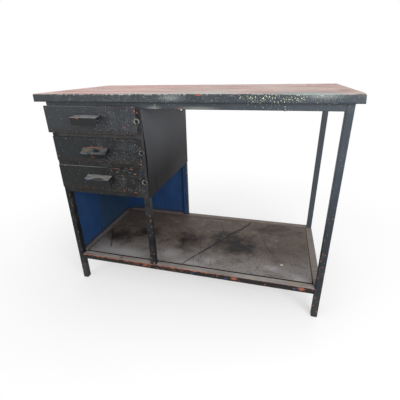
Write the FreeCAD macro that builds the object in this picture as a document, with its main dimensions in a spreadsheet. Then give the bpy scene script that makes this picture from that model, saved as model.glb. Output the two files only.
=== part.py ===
"""Workshop desk: a welded frame of square steel tube with a steel-skinned worktop, a low steel shelf
and a pedestal of three sheet-metal drawers on the left.

Millimetres, +Z up, +X to the right as seen from the front, +Y to the back. The origin is on the floor,
under the middle of the desk's box.
"""
import FreeCAD, Part
import os
from types import SimpleNamespace

import Sketcher

SIZES = {
    # Frame of square tube: outside of leg to outside of leg
    "bench_height": 900,
    "frame_width": 1134,
    "frame_depth": 540,
    "tube_width": 25,
    "tube_wall": 2,
    "tube_corner": 2.5,
    # Worktop: a steel skin folded down round a board
    "overhang_left": 42,
    "overhang_right": 24,
    "overhang_front": 15,
    "overhang_back": 12,
    "top_thickness": 30,
    "skin_gauge": 2,
    "skin_bend": 3,
    "skin_corner": 5,
    "board_gap": 0.3,
    # Screws that hold the board to the front and rear rails
    "screw_shank": 4.5,
    "screw_head": 9,
    "screw_head_height": 3,
    "screw_grip": 15,
    "screw_clearance": 0.5,
    # Low shelf: folded angles round an inset deck on bearers
    "shelf_height": 145,
    "angle_flange": 30,
    "angle_web": 25,
    "shelf_gauge": 3,
    "deck_seam": 2.5,
    "bearer_width": 20,
    # Pedestal
    "pedestal_width": 413,
    "panel_gauge": 1.5,
    "outer_panel_inset": 3,
    # Two holes in the inner panel, one over the other, placed from the desk's back and the panel's foot
    "panel_hole": 8,
    "panel_hole_spacing": 50,
    "panel_hole_back": 140,
    "panel_hole_height": 118.25,
    # Drawer fronts: folded pans that lie over the frame
    "front_height": 106,
    "front_pitch": 123.5,
    "front_depth": 4,
    "front_gauge": 1.5,
    "front_bend": 2,
    "front_overlap": 11,
    "front_set_in": 1,
    "front_drop": 14,
    "front_gap": 0.5,
    "upper_ajar": 16,
    # Trays and their runners
    "tray_length": 500,
    "tray_height": 80,
    "tray_gauge": 1.2,
    "runner_flange": 14,
    "runner_web": 20,
    "runner_gauge": 1.5,
    "side_gap": 1,
    "running_gap": 0.3,
    # Pulls bent from sheet, each drawer's of its own shape
    "pull_width": 114,
    "pull_gauge": 2,
    "pull_bend": 3,
    "upper_pull_below": 33,
    "upper_pull_reach": 38,
    "upper_pull_drop": 4,
    "upper_pull_lip": 31,
    "middle_pull_below": 39,
    "middle_pull_reach": 32,
    "middle_pull_drop": 21,
    "middle_pull_fall": 20,
    "middle_pull_tuck": 18,
    "middle_pull_slant": 3,
    "lower_pull_below": 35,
    "lower_pull_reach": 33,
    "lower_pull_drop": 8,
    "lower_pull_lip": 37,
    # Steel rings at the right edges of the fronts
    "ring_outside": 24,
    "ring_bore": 14,
    "ring_depth": 5,
    "ring_round": 2,
    "ring_past_edge": 4,
}
SCREWS_PER_RAIL = 3
SHELF_BEARERS = ("left", "middle", "right")
DRAWERS = ("upper", "middle", "lower")
ALONG = {
    "x": ("YZ_Plane", False),
    "y": ("XZ_Plane", True),
    "-y": ("XZ_Plane", False),
    "z": ("XY_Plane", False),
}
TOUCH = 1e-6

doc = FreeCAD.newDocument("workshop_desk")
sheet = doc.addObject("Spreadsheet::Sheet", "sizes")
for row, (name, number) in enumerate(SIZES.items(), start=1):
    sheet.set(f"A{row}", name)
    sheet.set(f"B{row}", str(number))
    sheet.setAlias(f"B{row}", name)
doc.recompute()


class Size:
    """A length together with the sheet formula that gives it."""

    def __init__(self, value, formula):
        self.value = value
        self.formula = formula

    def __add__(self, other):
        other = as_size(other)
        return Size(self.value + other.value, f"({self.formula} + {other.formula})")

    def __sub__(self, other):
        other = as_size(other)
        return Size(self.value - other.value, f"({self.formula} - {other.formula})")

    def __mul__(self, other):
        other = as_size(other)
        return Size(self.value * other.value, f"({self.formula} * {other.formula})")

    def __truediv__(self, other):
        other = as_size(other)
        return Size(self.value / other.value, f"({self.formula} / {other.formula})")


def as_size(number):
    """A plain count or factor as a Size."""
    if isinstance(number, Size):
        return number
    return Size(float(number), str(number))


ZERO = as_size(0)
dim = SimpleNamespace(**{name: Size(float(number), f"sizes.{name}") for name, number in SIZES.items()})
pieces = []


# Building blocks

def bind(thing, prop, size):
    """Tie one property to the sheet."""
    thing.setExpression(prop, size.formula)


def place(thing, corner):
    """Tie the position of a thing to the sheet."""
    for axis, size in zip("xyz", corner):
        bind(thing, f"Placement.Base.{axis}", size)


def keep(label, thing):
    """Name a finished piece."""
    thing.Label = label
    pieces.append(thing)
    return thing


def block(label, x, y, z):
    """A box between two planes along each axis."""
    box = doc.addObject("Part::Box", label)
    for side, (low, high) in zip(("Length", "Width", "Height"), (x, y, z)):
        bind(box, side, high - low)
    place(box, (x[0], y[0], z[0]))
    return box


def upright_rod(label, diameter, centre, z):
    """A round rod along Z between two heights."""
    rod = doc.addObject("Part::Cylinder", label)
    bind(rod, "Radius", diameter / 2)
    bind(rod, "Height", z[1] - z[0])
    place(rod, (centre[0], centre[1], z[0]))
    return rod


def cut(label, base, tool):
    """One shape less another."""
    result = doc.addObject("Part::Cut", label)
    result.Base = base
    result.Tool = tool
    return result


def compound(label, links):
    """Separate shapes kept as one group."""
    group = doc.addObject("Part::Compound", label)
    group.Links = links
    return group


def new_sketch(body, name, role):
    """A sketch on one of the body's own planes."""
    sketch = body.newObject("Sketcher::SketchObject", name)
    plane = [feature for feature in body.Origin.OriginFeatures if feature.Role == role][0]
    sketch.AttachmentSupport = [(plane, "")]
    sketch.MapMode = "FlatFace"
    return sketch


def locate(sketch, geometry, point, u, v):
    """Tie one point of a sketch to its two distances from the sketch's origin."""
    for kind, axis, size in (("DistanceX", -2, u), ("DistanceY", -1, v)):
        if size is ZERO:
            sketch.addConstraint(Sketcher.Constraint("PointOnObject", geometry, point, axis))
            continue
        index = sketch.addConstraint(Sketcher.Constraint(kind, -1, 1, geometry, point, size.value))
        bind(sketch, f"Constraints[{index}]", size)


def draw_outline(sketch, points):
    """A closed outline of straight lines."""
    first = sketch.GeometryCount
    count = len(points)
    corners = [FreeCAD.Vector(u.value, v.value, 0) for u, v in points]
    for step, corner in enumerate(corners):
        sketch.addGeometry(Part.LineSegment(corner, corners[(step + 1) % count]))
    for step, (u, v) in enumerate(points):
        following = first + (step + 1) % count
        sketch.addConstraint(Sketcher.Constraint("Coincident", first + step, 2, following, 1))
        locate(sketch, first + step, 1, u, v)


def draw_circle(sketch, diameter, u, v):
    """A circle about a located centre."""
    centre = FreeCAD.Vector(u.value, v.value, 0)
    circle = sketch.addGeometry(Part.Circle(centre, FreeCAD.Vector(0, 0, 1), diameter.value / 2))
    if u is ZERO and v is ZERO:
        sketch.addConstraint(Sketcher.Constraint("Coincident", circle, 3, -1, 1))
    else:
        locate(sketch, circle, 3, u, v)
    index = sketch.addConstraint(Sketcher.Constraint("Diameter", circle, diameter.value))
    bind(sketch, f"Constraints[{index}]", diameter)


def rectangle(low, high):
    """Corners of an upright rectangle."""
    return [(low[0], low[1]), (high[0], low[1]), (high[0], high[1]), (low[0], high[1])]


def across(point, along):
    """The two coordinates of a point across a direction."""
    return {"x": (point.y, point.z), "y": (point.x, point.z), "z": (point.x, point.y)}[along]


def bar(label, along, outlines, length, corner, circles=()):
    """A straight bar: outlines on a plane across it, padded along it."""
    role, backwards = ALONG[along]
    body = doc.addObject("PartDesign::Body", label)
    sketch = new_sketch(body, label + "_section", role)
    for outline in outlines:
        draw_outline(sketch, outline)
    for diameter, u, v in circles:
        draw_circle(sketch, diameter, u, v)
    pad = body.newObject("PartDesign::Pad", label + "_pad")
    pad.Profile = sketch
    pad.Reversed = backwards
    bind(pad, "Length", length)
    place(body, corner)
    return body


def round_edges(body, name, radius, wanted):
    """Round the edges of a body that pass a test."""
    doc.recompute()
    base = body.Tip
    edges = [f"Edge{number}" for number, edge in enumerate(base.Shape.Edges, start=1) if wanted(edge)]
    fillet = body.newObject("PartDesign::Fillet", f"{body.Name}_{name}")
    fillet.Base = (base, edges)
    bind(fillet, "Radius", radius)


def runs_through(edge, along, corners):
    """Whether an edge runs along a bar at one of the given corners of its section."""
    ends = [across(vertex.Point, along) for vertex in edge.Vertexes]
    return len(ends) == 2 and any(
        all(abs(end[0] - u.value) < TOUCH and abs(end[1] - v.value) < TOUCH for end in ends)
        for u, v in corners
    )


def square_tube(label, along, low, high):
    """Square tube with rounded corners, open at both ends, between two opposite corners of its box."""
    axes = [axis for axis in "xyz" if axis != along]
    start = dict(zip("xyz", low))
    end = dict(zip("xyz", high))
    width = [end[axis] - start[axis] for axis in axes]
    outside = rectangle((ZERO, ZERO), width)
    inside = rectangle((dim.tube_wall, dim.tube_wall), [size - dim.tube_wall for size in width])
    body = bar(label, along, [outside, inside], end[along] - start[along], low)
    round_edges(body, "corners", dim.tube_corner, lambda edge: runs_through(edge, along, outside))
    return body


def pan(label, width, height, depth, gauge, bend, corner_round):
    """A sheet folded back along its four edges: face up at the given depth, open below."""
    outside = rectangle((ZERO, ZERO), (width, height))
    body = bar(label, "z", [outside], depth, (ZERO, ZERO, ZERO))
    round_edges(body, "corners", corner_round, lambda edge: runs_through(edge, "z", outside))

    def on_face(edge):
        return all(abs(vertex.Point.z - depth.value) < TOUCH for vertex in edge.Vertexes)

    round_edges(body, "bends", bend, on_face)
    sketch = new_sketch(body, label + "_inside", "XY_Plane")
    draw_outline(sketch, rectangle((gauge, gauge), (width - gauge, height - gauge)))
    pocket = body.newObject("PartDesign::Pocket", label + "_hollow")
    pocket.Profile = sketch
    pocket.Reversed = True
    bind(pocket, "Length", depth - gauge)
    return body


# Main planes of the desk

top_width = dim.frame_width + dim.overhang_left + dim.overhang_right
top_depth = dim.frame_depth + dim.overhang_front + dim.overhang_back
left = dim.overhang_left - top_width / 2
right = left + dim.frame_width
front_stand = dim.front_gap + dim.front_depth
front_reach = front_stand + dim.upper_ajar + dim.upper_pull_reach
front = (front_reach - dim.frame_depth - dim.overhang_back) / 2
back = front + dim.frame_depth
tube = dim.tube_width
under_top = dim.bench_height - dim.top_thickness
under_rails = under_top - tube
post_right = left + dim.pedestal_width
post_left = post_right - tube
shelf_under = dim.shelf_height - dim.shelf_gauge
back_panel_back = back - dim.outer_panel_inset
back_panel_face = back_panel_back - dim.panel_gauge


# Legs, posts and rails

def frame_of_tubes():
    """Four legs, the pedestal's two posts, the rails under the worktop and its cross bearers."""
    sides = {"left": left, "right": right - tube}
    ends = {"front": front, "rear": back - tube}
    for end, y in ends.items():
        for side, x in sides.items():
            name = f"leg_{end}_{side}"
            keep(name, square_tube(name, "z", (x, y, ZERO), (x + tube, y + tube, under_top)))
        name = f"{end}_post"
        foot = (post_left, y, dim.shelf_height)
        keep(name, square_tube(name, "z", foot, (post_right, y + tube, under_rails)))
    for side, x in sides.items():
        name = f"top_rail_{side}"
        keep(name, square_tube(name, "y", (x, front + tube, under_rails), (x + tube, back - tube, under_top)))
    middle = (post_right + right) / 2 - tube / 2
    for name, x in (("top_bearer_pedestal", post_left), ("top_bearer_middle", middle)):
        keep(name, square_tube(name, "y", (x, front + tube, under_rails), (x + tube, back - tube, under_top)))
    for end, y in ends.items():
        name = f"top_rail_{end}"
        low = (left + tube, y, under_rails)
        rail = square_tube(f"{name}_bar", "x", low, (right - tube, y + tube, under_top))
        keep(name, cut(name, rail, screw_holes(f"{name}_holes", y + tube / 2, under_rails, under_top)))


def screw_places():
    """Distances along X of the screws in one rail, evenly spread between the legs."""
    pitch = (dim.frame_width - tube * 2) / SCREWS_PER_RAIL
    return [left + tube + pitch * (step + 0.5) for step in range(SCREWS_PER_RAIL)]


def screw_holes(label, y, low, high):
    """Clearance holes for the screws of one rail."""
    hole = dim.screw_shank + dim.screw_clearance
    return compound(label, [
        upright_rod(f"{label}_{step}", hole, (x, y), (low, high)) for step, x in enumerate(screw_places())
    ])


# Worktop

def worktop():
    """The skin, the board inside it and the screws up through the rails."""
    skin = pan("worktop_skin", top_width, top_depth, dim.top_thickness, dim.skin_gauge, dim.skin_bend,
               dim.skin_corner)
    place(skin, (left - dim.overhang_left, front - dim.overhang_front, under_top))
    keep("worktop_skin", skin)
    inset = dim.skin_gauge + dim.board_gap
    board = block(
        "worktop_board_blank",
        (left - dim.overhang_left + inset, right + dim.overhang_right - inset),
        (front - dim.overhang_front + inset, back + dim.overhang_back - inset),
        (under_top, dim.bench_height - dim.skin_gauge),
    )
    bite = under_top + dim.screw_grip
    rows = (front + tube / 2, back - tube / 2)
    holes = [
        screw_holes(f"worktop_board_holes_{row}", y, under_top, bite + dim.screw_clearance)
        for row, y in enumerate(rows)
    ]
    keep("worktop_board", cut("worktop_board", board, compound("worktop_board_holes", holes)))
    screws = []
    for row, y in enumerate(rows):
        for step, x in enumerate(screw_places()):
            name = f"worktop_screw_{row}_{step}"
            head = (under_rails - dim.screw_head_height, under_rails)
            screw = doc.addObject("Part::Fuse", name)
            screw.Base = upright_rod(f"{name}_shank", dim.screw_shank, (x, y), (under_rails, bite))
            screw.Tool = upright_rod(f"{name}_head", dim.screw_head, (x, y), head)
            screws.append(screw)
    keep("worktop_screws", compound("worktop_screws", screws))


# Low shelf

def shelf():
    """Folded angles round the frame, the deck let in between them and the bearers below it."""
    gauge = dim.shelf_gauge
    web = dim.angle_web
    flange = dim.angle_flange
    low = dim.shelf_height - web
    near = [(ZERO, ZERO), (gauge, ZERO), (gauge, web - gauge),
            (flange, web - gauge), (flange, web), (ZERO, web)]
    far = [(flange, ZERO), (flange - gauge, ZERO), (flange - gauge, web - gauge),
           (ZERO, web - gauge), (ZERO, web), (flange, web)]
    run = dim.frame_width - tube * 2
    cope = flange - tube
    for end, outline, y, cope_y in (
        ("front", near, front, front + tube),
        ("rear", far, back - flange, back - flange),
    ):
        name = f"shelf_rail_{end}"
        angle = bar(f"{name}_angle", "x", [outline], run, (left + tube, y, low))
        notches = [
            block(f"{name}_cope_{side}", (x, x + cope), (cope_y, cope_y + cope), (low, dim.shelf_height))
            for side, x in (("left", left + tube), ("right", right - flange))
        ]
        keep(name, cut(name, angle, compound(f"{name}_copes", notches)))
    for side, outline, x in (("left", near, left), ("right", far, right - flange)):
        name = f"shelf_rail_{side}"
        keep(name, bar(name, "y", [outline], dim.frame_depth - tube * 2, (x, front + tube, low)))
    seam = flange + dim.deck_seam
    keep("shelf_deck", block("shelf_deck", (left + seam, right - seam), (front + seam, back - seam),
                             (shelf_under, dim.shelf_height)))
    pitch = dim.frame_width / (len(SHELF_BEARERS) + 1)
    for step, side in enumerate(SHELF_BEARERS, start=1):
        name = f"shelf_bearer_{side}"
        x = left + pitch * step - dim.bearer_width / 2
        keep(name, square_tube(name, "y", (x, front + gauge, shelf_under - dim.bearer_width),
                               (x + dim.bearer_width, back - gauge, shelf_under)))


# Pedestal

def front_top(step):
    """Height of the top edge of one drawer front, counted from the top."""
    return under_top - dim.front_drop - dim.front_pitch * step


def rail_top(step):
    """Height of the top of the rail under one drawer, behind the middle of the gap below its front."""
    gap = dim.front_pitch - dim.front_height
    return front_top(step) - dim.front_height - gap / 2 + tube / 2


def pedestal():
    """Side and back panels, and the rails between and below the drawers."""
    y = (front + tube, back - tube)
    x = left + dim.outer_panel_inset
    z = (dim.shelf_height, under_rails)
    keep("left_side_panel", block("left_side_panel", (x, x + dim.panel_gauge), y, z))
    keep("back_panel", block("back_panel", (left + tube, post_left), (back_panel_face, back_panel_back), z))
    low = rail_top(len(DRAWERS) - 1) - tube
    u = dim.frame_depth - dim.panel_hole_back
    v = dim.panel_hole_height
    apart = dim.panel_hole_spacing / 2
    holes = [(dim.panel_hole, u, v - apart), (dim.panel_hole, u, v + apart)]
    outline = rectangle((ZERO, ZERO), (dim.frame_depth, under_rails - low))
    corner = (post_right, front, low)
    keep("right_side_panel", bar("right_side_panel", "x", [outline], dim.panel_gauge, corner, holes))
    for step, name in enumerate(("upper_divider_rail", "lower_divider_rail", "pedestal_bottom_rail")):
        z = rail_top(step)
        keep(name, square_tube(name, "x", (left + tube, front, z - tube), (post_left, front + tube, z)))


# Drawers

def runners(drawer, step):
    """A pair of angles, on the legs and on the posts, that a tray slides on."""
    gauge = dim.runner_gauge
    flange = dim.runner_flange
    web = dim.runner_web
    on_left = [(ZERO, ZERO), (flange, ZERO), (flange, gauge), (gauge, gauge), (gauge, web), (ZERO, web)]
    on_right = [(ZERO, ZERO), (flange, ZERO), (flange, web), (flange - gauge, web), (flange - gauge, gauge),
                (ZERO, gauge)]
    for side, outline, x in (("left", on_left, left + tube), ("right", on_right, post_left - flange)):
        name = f"{drawer}_runner_{side}"
        keep(name, bar(name, "y", [outline], back_panel_face - front, (x, front, rail_top(step))))


def tray(drawer, step, ahead):
    """An open-topped box of folded sheet behind the drawer's front."""
    gauge = dim.tray_gauge
    slide = dim.runner_gauge + dim.side_gap
    x = (left + tube + slide, post_left - slide)
    y_start = front - front_stand - ahead + dim.front_gauge
    y = (y_start, y_start + dim.tray_length)
    z_start = rail_top(step) + dim.runner_gauge + dim.running_gap
    z = (z_start, z_start + dim.tray_height)
    name = f"{drawer}_drawer_tray"
    outside = block(f"{name}_outside", x, y, z)
    inside = block(f"{name}_inside", (x[0] + gauge, x[1] - gauge), (y[0] + gauge, y[1] - gauge),
                   (z[0] + gauge, z[1]))
    keep(name, cut(name, outside, inside))


def lip_section(reach, drop, lip):
    """A top plate that falls a little to a bend, and a lip straight down from it."""
    gauge = dim.pull_gauge
    return [(reach, drop + lip), (ZERO, lip), (ZERO, ZERO), (gauge, ZERO), (gauge, lip - gauge),
            (reach, drop + lip - gauge)]


def vee_section(reach, drop, fall, tuck, slant):
    """A sloping top plate with its lower half folded back in under it, both a slant thick along the level."""
    return [(reach, drop + fall), (ZERO, fall), (tuck, ZERO), (tuck + slant, ZERO), (slant, fall),
            (reach, drop + fall - drop * slant / reach)]


PULL_SECTIONS = {
    "upper": lip_section(dim.upper_pull_reach, dim.upper_pull_drop, dim.upper_pull_lip),
    "middle": vee_section(dim.middle_pull_reach, dim.middle_pull_drop, dim.middle_pull_fall,
                          dim.middle_pull_tuck, dim.middle_pull_slant),
    "lower": lip_section(dim.lower_pull_reach, dim.lower_pull_drop, dim.lower_pull_lip),
}
PULL_TOPS = {
    "upper": dim.upper_pull_below,
    "middle": dim.middle_pull_below,
    "lower": dim.lower_pull_below,
}


def drawer_front(drawer, step, ahead):
    """The folded front with its pull and its ring."""
    left_edge = left + dim.front_set_in
    width = post_left + dim.front_overlap - left_edge
    low = front_top(step) - dim.front_height
    face = front - front_stand - ahead
    bend = dim.front_bend
    name = f"{drawer}_drawer_front"
    cover = pan(name, width, dim.front_height, dim.front_depth, dim.front_gauge, bend, bend)
    cover.Placement.Rotation = FreeCAD.Rotation(FreeCAD.Vector(1, 0, 0), 90)
    place(cover, (left_edge, face + dim.front_depth, low))
    keep(name, cover)

    section = PULL_SECTIONS[drawer]
    reach, height = section[0]
    name = f"{drawer}_drawer_pull"
    pull_left = left_edge + (width - dim.pull_width) / 2
    corner = (pull_left, face - reach, front_top(step) - PULL_TOPS[drawer] - height)
    pull = bar(name, "x", [section], dim.pull_width, corner)
    round_edges(pull, "bend", dim.pull_bend, lambda edge: runs_through(edge, "x", section[1:2]))
    keep(name, pull)

    name = f"{drawer}_drawer_ring"
    centre = (left_edge + width + dim.ring_past_edge, face, low + dim.front_height / 2)
    circles = [(dim.ring_outside, ZERO, ZERO), (dim.ring_bore, ZERO, ZERO)]
    ring = bar(name, "-y", [], dim.ring_depth, centre, circles)

    def on_face(edge):
        return all(abs(vertex.Point.y + dim.ring_depth.value) < TOUCH for vertex in edge.Vertexes)

    round_edges(ring, "rounds", dim.ring_round, on_face)
    keep(name, ring)


frame_of_tubes()
worktop()
shelf()
pedestal()
for step, drawer in enumerate(DRAWERS):
    ahead = dim.upper_ajar if drawer == "upper" else ZERO
    runners(drawer, step)
    tray(drawer, step, ahead)
    drawer_front(drawer, step, ahead)
doc.recompute()

failed = [thing.Label for thing in doc.Objects if {"Invalid", "Error"} & set(thing.State)]
unsound = [piece.Label for piece in pieces if piece.Shape.isNull() or not piece.Shape.isValid()]
if failed or unsound:
    raise RuntimeError(f"failed: {failed}, unsound: {unsound}")
os.makedirs("parts", exist_ok=True)
for piece in pieces:
    piece.Shape.exportStep(f"parts/{piece.Label}.step")
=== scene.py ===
"""Looks of the workshop desk: hand-painted steel with years of wear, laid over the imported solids.

Metres in the solids' own frame: +X to the desk's right, +Y to its back, +Z up. Materials measure
in millimetres.
"""
import math

import bmesh
import bpy
from mathutils import Matrix, Vector, noise


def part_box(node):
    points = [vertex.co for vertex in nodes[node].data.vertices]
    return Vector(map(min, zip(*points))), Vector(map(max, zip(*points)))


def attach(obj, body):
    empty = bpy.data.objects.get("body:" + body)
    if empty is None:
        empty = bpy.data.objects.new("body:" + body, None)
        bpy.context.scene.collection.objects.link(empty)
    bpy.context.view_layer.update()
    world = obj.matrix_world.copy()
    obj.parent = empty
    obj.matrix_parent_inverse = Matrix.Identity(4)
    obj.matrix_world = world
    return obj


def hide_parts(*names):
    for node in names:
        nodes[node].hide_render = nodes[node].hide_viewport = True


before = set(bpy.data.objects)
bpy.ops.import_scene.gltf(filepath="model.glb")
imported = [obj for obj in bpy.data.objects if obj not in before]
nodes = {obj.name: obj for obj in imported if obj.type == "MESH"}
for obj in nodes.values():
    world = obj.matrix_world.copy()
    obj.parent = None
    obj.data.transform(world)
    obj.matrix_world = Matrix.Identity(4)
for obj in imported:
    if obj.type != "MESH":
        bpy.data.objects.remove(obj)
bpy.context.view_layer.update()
MM = 0.001
UP = (0, 0, 1)
RIGHT = (1, 0, 0)
BACK = (0, 1, 0)


# Node trees

MATH = "ShaderNodeMath"
VECTOR = "ShaderNodeVectorMath"
RANGE = "ShaderNodeMapRange"  # value, from, to, least, most
MIX = "ShaderNodeMix"
NOISE = "ShaderNodeTexNoise"
CELLS = "ShaderNodeTexVoronoi"


def colour(code):
    """An sRGB hex value as linear red, green, blue and alpha."""
    parts = [int(code[at:at + 2], 16) / 255 for at in (1, 3, 5)]
    return (*[part / 12.92 if part <= 0.04045 else ((part + 0.055) / 1.055) ** 2.4 for part in parts], 1)


def add(tree, kind, inputs=(), operation=None, **settings):
    """The outputs of a new node or group, with its settings and its inputs by name, by number or in order.

    An input is a value, a hex colour or the socket that feeds it.
    """
    if isinstance(kind, bpy.types.NodeTree):
        node = tree.nodes.new("ShaderNodeGroup")
        node.node_tree = kind
    else:
        node = tree.nodes.new(kind)
    if operation:
        node.operation = operation
    for name, value in settings.items():
        setattr(node, name, value)
    for name, value in inputs.items() if isinstance(inputs, dict) else enumerate(inputs):
        if isinstance(value, bpy.types.NodeSocket):
            tree.links.new(value, node.inputs[name])
        else:
            node.inputs[name].default_value = colour(value) if isinstance(value, str) else value
    return node.outputs


def mask_group(build, **inputs):
    """A group that gives one mask of a place, which a function builds from the group's inputs in order."""
    tree = bpy.data.node_groups.new(build.__name__, "ShaderNodeTree")
    inputs = {"Place": (0, 0, 0), **inputs}
    for label, value in inputs.items():
        kind = "NodeSocketVector" if isinstance(value, tuple) else "NodeSocketFloat"
        tree.interface.new_socket(label, in_out="INPUT", socket_type=kind).default_value = value
    tree.interface.new_socket("Mask", in_out="OUTPUT", socket_type="NodeSocketFloat")
    given = add(tree, "NodeGroupInput")
    add(tree, "NodeGroupOutput", {"Mask": build(tree, *[given[label] for label in inputs])})
    return tree


def clouds(tree, place, size, stretch, low, high, most, detail):
    """Soft uneven patches of about one size, which may be drawn out along the axes."""
    drawn = add(tree, VECTOR, [place, stretch], "DIVIDE")[0]
    scale = add(tree, MATH, [1, size], "DIVIDE")[0]
    hills = add(tree, NOISE, {"Vector": drawn, "Scale": scale, "Detail": detail, "Roughness": 0.6})["Fac"]
    return add(tree, RANGE, [hills, low, high, 0, most], interpolation_type="SMOOTHSTEP")[0]


def band(tree, place, way, low, high, most):
    """A soft step along one direction, for places and for the way that a face looks."""
    along = add(tree, VECTOR, [place, way], "DOT_PRODUCT")["Value"]
    return add(tree, RANGE, [along, low, high, 0, most], interpolation_type="SMOOTHSTEP")[0]


def grains(tree, place, size, stretch):
    """Cells of about one size, each with a level of its own."""
    drawn = add(tree, VECTOR, [place, stretch], "DIVIDE")[0]
    scale = add(tree, MATH, [1, size], "DIVIDE")[0]
    cells = add(tree, CELLS, {"Vector": drawn, "Scale": scale})["Color"]
    return add(tree, "ShaderNodeSeparateColor", {"Color": cells})["Red"]


def flecks(tree, place, spacing, size, cover, ragged):
    """Small ragged flecks, one at most in each cell of a loose grid."""
    scale = add(tree, MATH, [1, spacing], "DIVIDE")[0]
    finer = add(tree, MATH, [3, spacing], "DIVIDE")[0]
    rag = add(tree, NOISE, {"Vector": place, "Scale": finer, "Detail": 2})["Color"]
    middle = add(tree, VECTOR, [rag, (0.5, 0.5, 0.5)], "SUBTRACT")[0]
    reach = add(tree, MATH, [spacing, ragged], "MULTIPLY")[0]
    shift = add(tree, VECTOR, {0: middle, "Scale": reach}, "SCALE")[0]
    moved = add(tree, VECTOR, [place, shift])[0]
    cells = add(tree, CELLS, {"Vector": moved, "Scale": scale})
    chance = add(tree, "ShaderNodeSeparateColor", {"Color": cells["Color"]})
    there = add(tree, MATH, [chance["Red"], cover], "LESS_THAN")[0]
    share = add(tree, RANGE, [chance["Green"], 0, 1, 0.35])[0]
    radius = add(tree, MATH, [share, size], "MULTIPLY")[0]
    rim = add(tree, MATH, [radius, 0.7], "MULTIPLY")[0]
    inside = add(tree, RANGE, [cells["Distance"], radius, rim])[0]
    return add(tree, MATH, [inside, there], "MULTIPLY")[0]


def worn_edges(tree, place, reach, wear, patch):
    """Paint that has gone from the edges, in patches."""
    radius = add(tree, MATH, [reach, MM], "MULTIPLY")[0]
    rounded = add(tree, "ShaderNodeBevel", {"Radius": radius}, samples=12)[0]
    flat = add(tree, "ShaderNodeNewGeometry")["Normal"]
    along = add(tree, VECTOR, [rounded, flat], "DOT_PRODUCT")["Value"]
    edge = add(tree, RANGE, [along, 0.985, 0.78])[0]
    scale = add(tree, MATH, [1, patch], "DIVIDE")[0]
    hills = add(tree, NOISE, {"Vector": place, "Scale": scale, "Detail": 5, "Roughness": 0.65})["Fac"]
    bare = add(tree, RANGE, [hills, 0.35, 0.68, 0, 1.4])[0]
    worn = add(tree, MATH, [edge, bare], "MULTIPLY")[0]
    limit = add(tree, MATH, [1, wear], "SUBTRACT")[0]
    full = add(tree, MATH, [limit, 0.12])[0]
    return add(tree, RANGE, [worn, limit, full])[0]


def spot(tree, place, centre, reach, rag, torn, soft):
    """One spot about a centre, torn at its rim."""
    away = add(tree, VECTOR, [place, centre], "SUBTRACT")[0]
    share = add(tree, VECTOR, [away, reach], "DIVIDE")[0]
    far = add(tree, VECTOR, [share], "LENGTH")["Value"]
    middle = add(tree, MATH, [rag, 0.5], "SUBTRACT")[0]
    ragged = add(tree, MATH, [middle, torn, far], "MULTIPLY_ADD")[0]
    inner = add(tree, MATH, [1, soft], "SUBTRACT")[0]
    return add(tree, RANGE, [ragged, 1, inner], interpolation_type="SMOOTHSTEP")[0]


def stroke(tree, place, start, end, width, most):
    """One drawn line from a start to an end, thinning out at its rim."""
    run = add(tree, VECTOR, [end, start], "SUBTRACT")[0]
    away = add(tree, VECTOR, [place, start], "SUBTRACT")[0]
    along = add(tree, VECTOR, [away, run], "DOT_PRODUCT")["Value"]
    whole = add(tree, VECTOR, [run, run], "DOT_PRODUCT")["Value"]
    part = add(tree, MATH, [along, whole], "DIVIDE", use_clamp=True)[0]
    foot = add(tree, VECTOR, {0: run, "Scale": part}, "SCALE")[0]
    aside = add(tree, VECTOR, [away, foot], "DISTANCE")["Value"]
    return add(tree, RANGE, [aside, width, 0, 0, most], interpolation_type="SMOOTHSTEP")[0]


def drag_marks(tree, place, spacing, width, share):
    """Thin curling drag marks that come and go."""
    scale = add(tree, MATH, [1, spacing], "DIVIDE")[0]
    finer = add(tree, MATH, [1.7, spacing], "DIVIDE")[0]
    hills = add(tree, NOISE, {"Vector": place, "Scale": scale, "Detail": 1, "Distortion": 0.6})["Fac"]
    level = add(tree, MATH, [hills, 0.5], "SUBTRACT")[0]
    off = add(tree, MATH, [level], "ABSOLUTE")[0]
    line = add(tree, RANGE, [off, width, 0])[0]
    cover = add(tree, NOISE, {"Vector": place, "Scale": finer, "Detail": 3})["Fac"]
    limit = add(tree, MATH, [1, share], "SUBTRACT")[0]
    full = add(tree, MATH, [limit, 0.15])[0]
    shown = add(tree, RANGE, [cover, limit, full])[0]
    return add(tree, MATH, [line, shown], "MULTIPLY")[0]


def seam_line(tree, place, centre, half, width):
    """A line of one width round a level rectangle."""
    away = add(tree, VECTOR, [place, centre], "SUBTRACT")[0]
    size = add(tree, VECTOR, [away], "ABSOLUTE")[0]
    past = add(tree, VECTOR, [size, half], "SUBTRACT")[0]
    axes = add(tree, "ShaderNodeSeparateXYZ", [past])
    most = add(tree, MATH, [axes["X"], axes["Y"]], "MAXIMUM")[0]
    off = add(tree, MATH, [most], "ABSOLUTE")[0]
    inner = add(tree, MATH, [width, 0.6], "MULTIPLY")[0]
    return add(tree, RANGE, [off, width, inner])[0]


CLOUDS = mask_group(clouds, Size=50, Stretch=(1, 1, 1), From=0, To=1, Most=1, Detail=4)
BAND = mask_group(band, Way=UP, From=0, To=1, Most=1)
GRAINS = mask_group(grains, Size=10, Stretch=(1, 1, 1))
FLECKS = mask_group(flecks, Spacing=10, Size=0.3, Cover=0.3, Ragged=0.6)
EDGES = mask_group(worn_edges, Reach=3, Wear=0.5, Patch=15)
SPOT = mask_group(spot, Centre=(0, 0, 0), Reach=(10, 10, 10), Rag=0.5, Torn=1, Soft=0.3)
STROKE = mask_group(stroke, Start=(0, 0, 0), End=(1, 0, 0), Width=3, Most=1)
MARKS = mask_group(drag_marks, Spacing=100, Width=0.02, Share=0.5)
SEAM = mask_group(seam_line, Centre=(0, 0, 0), Half=(1, 1, 0), Width=4)


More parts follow.
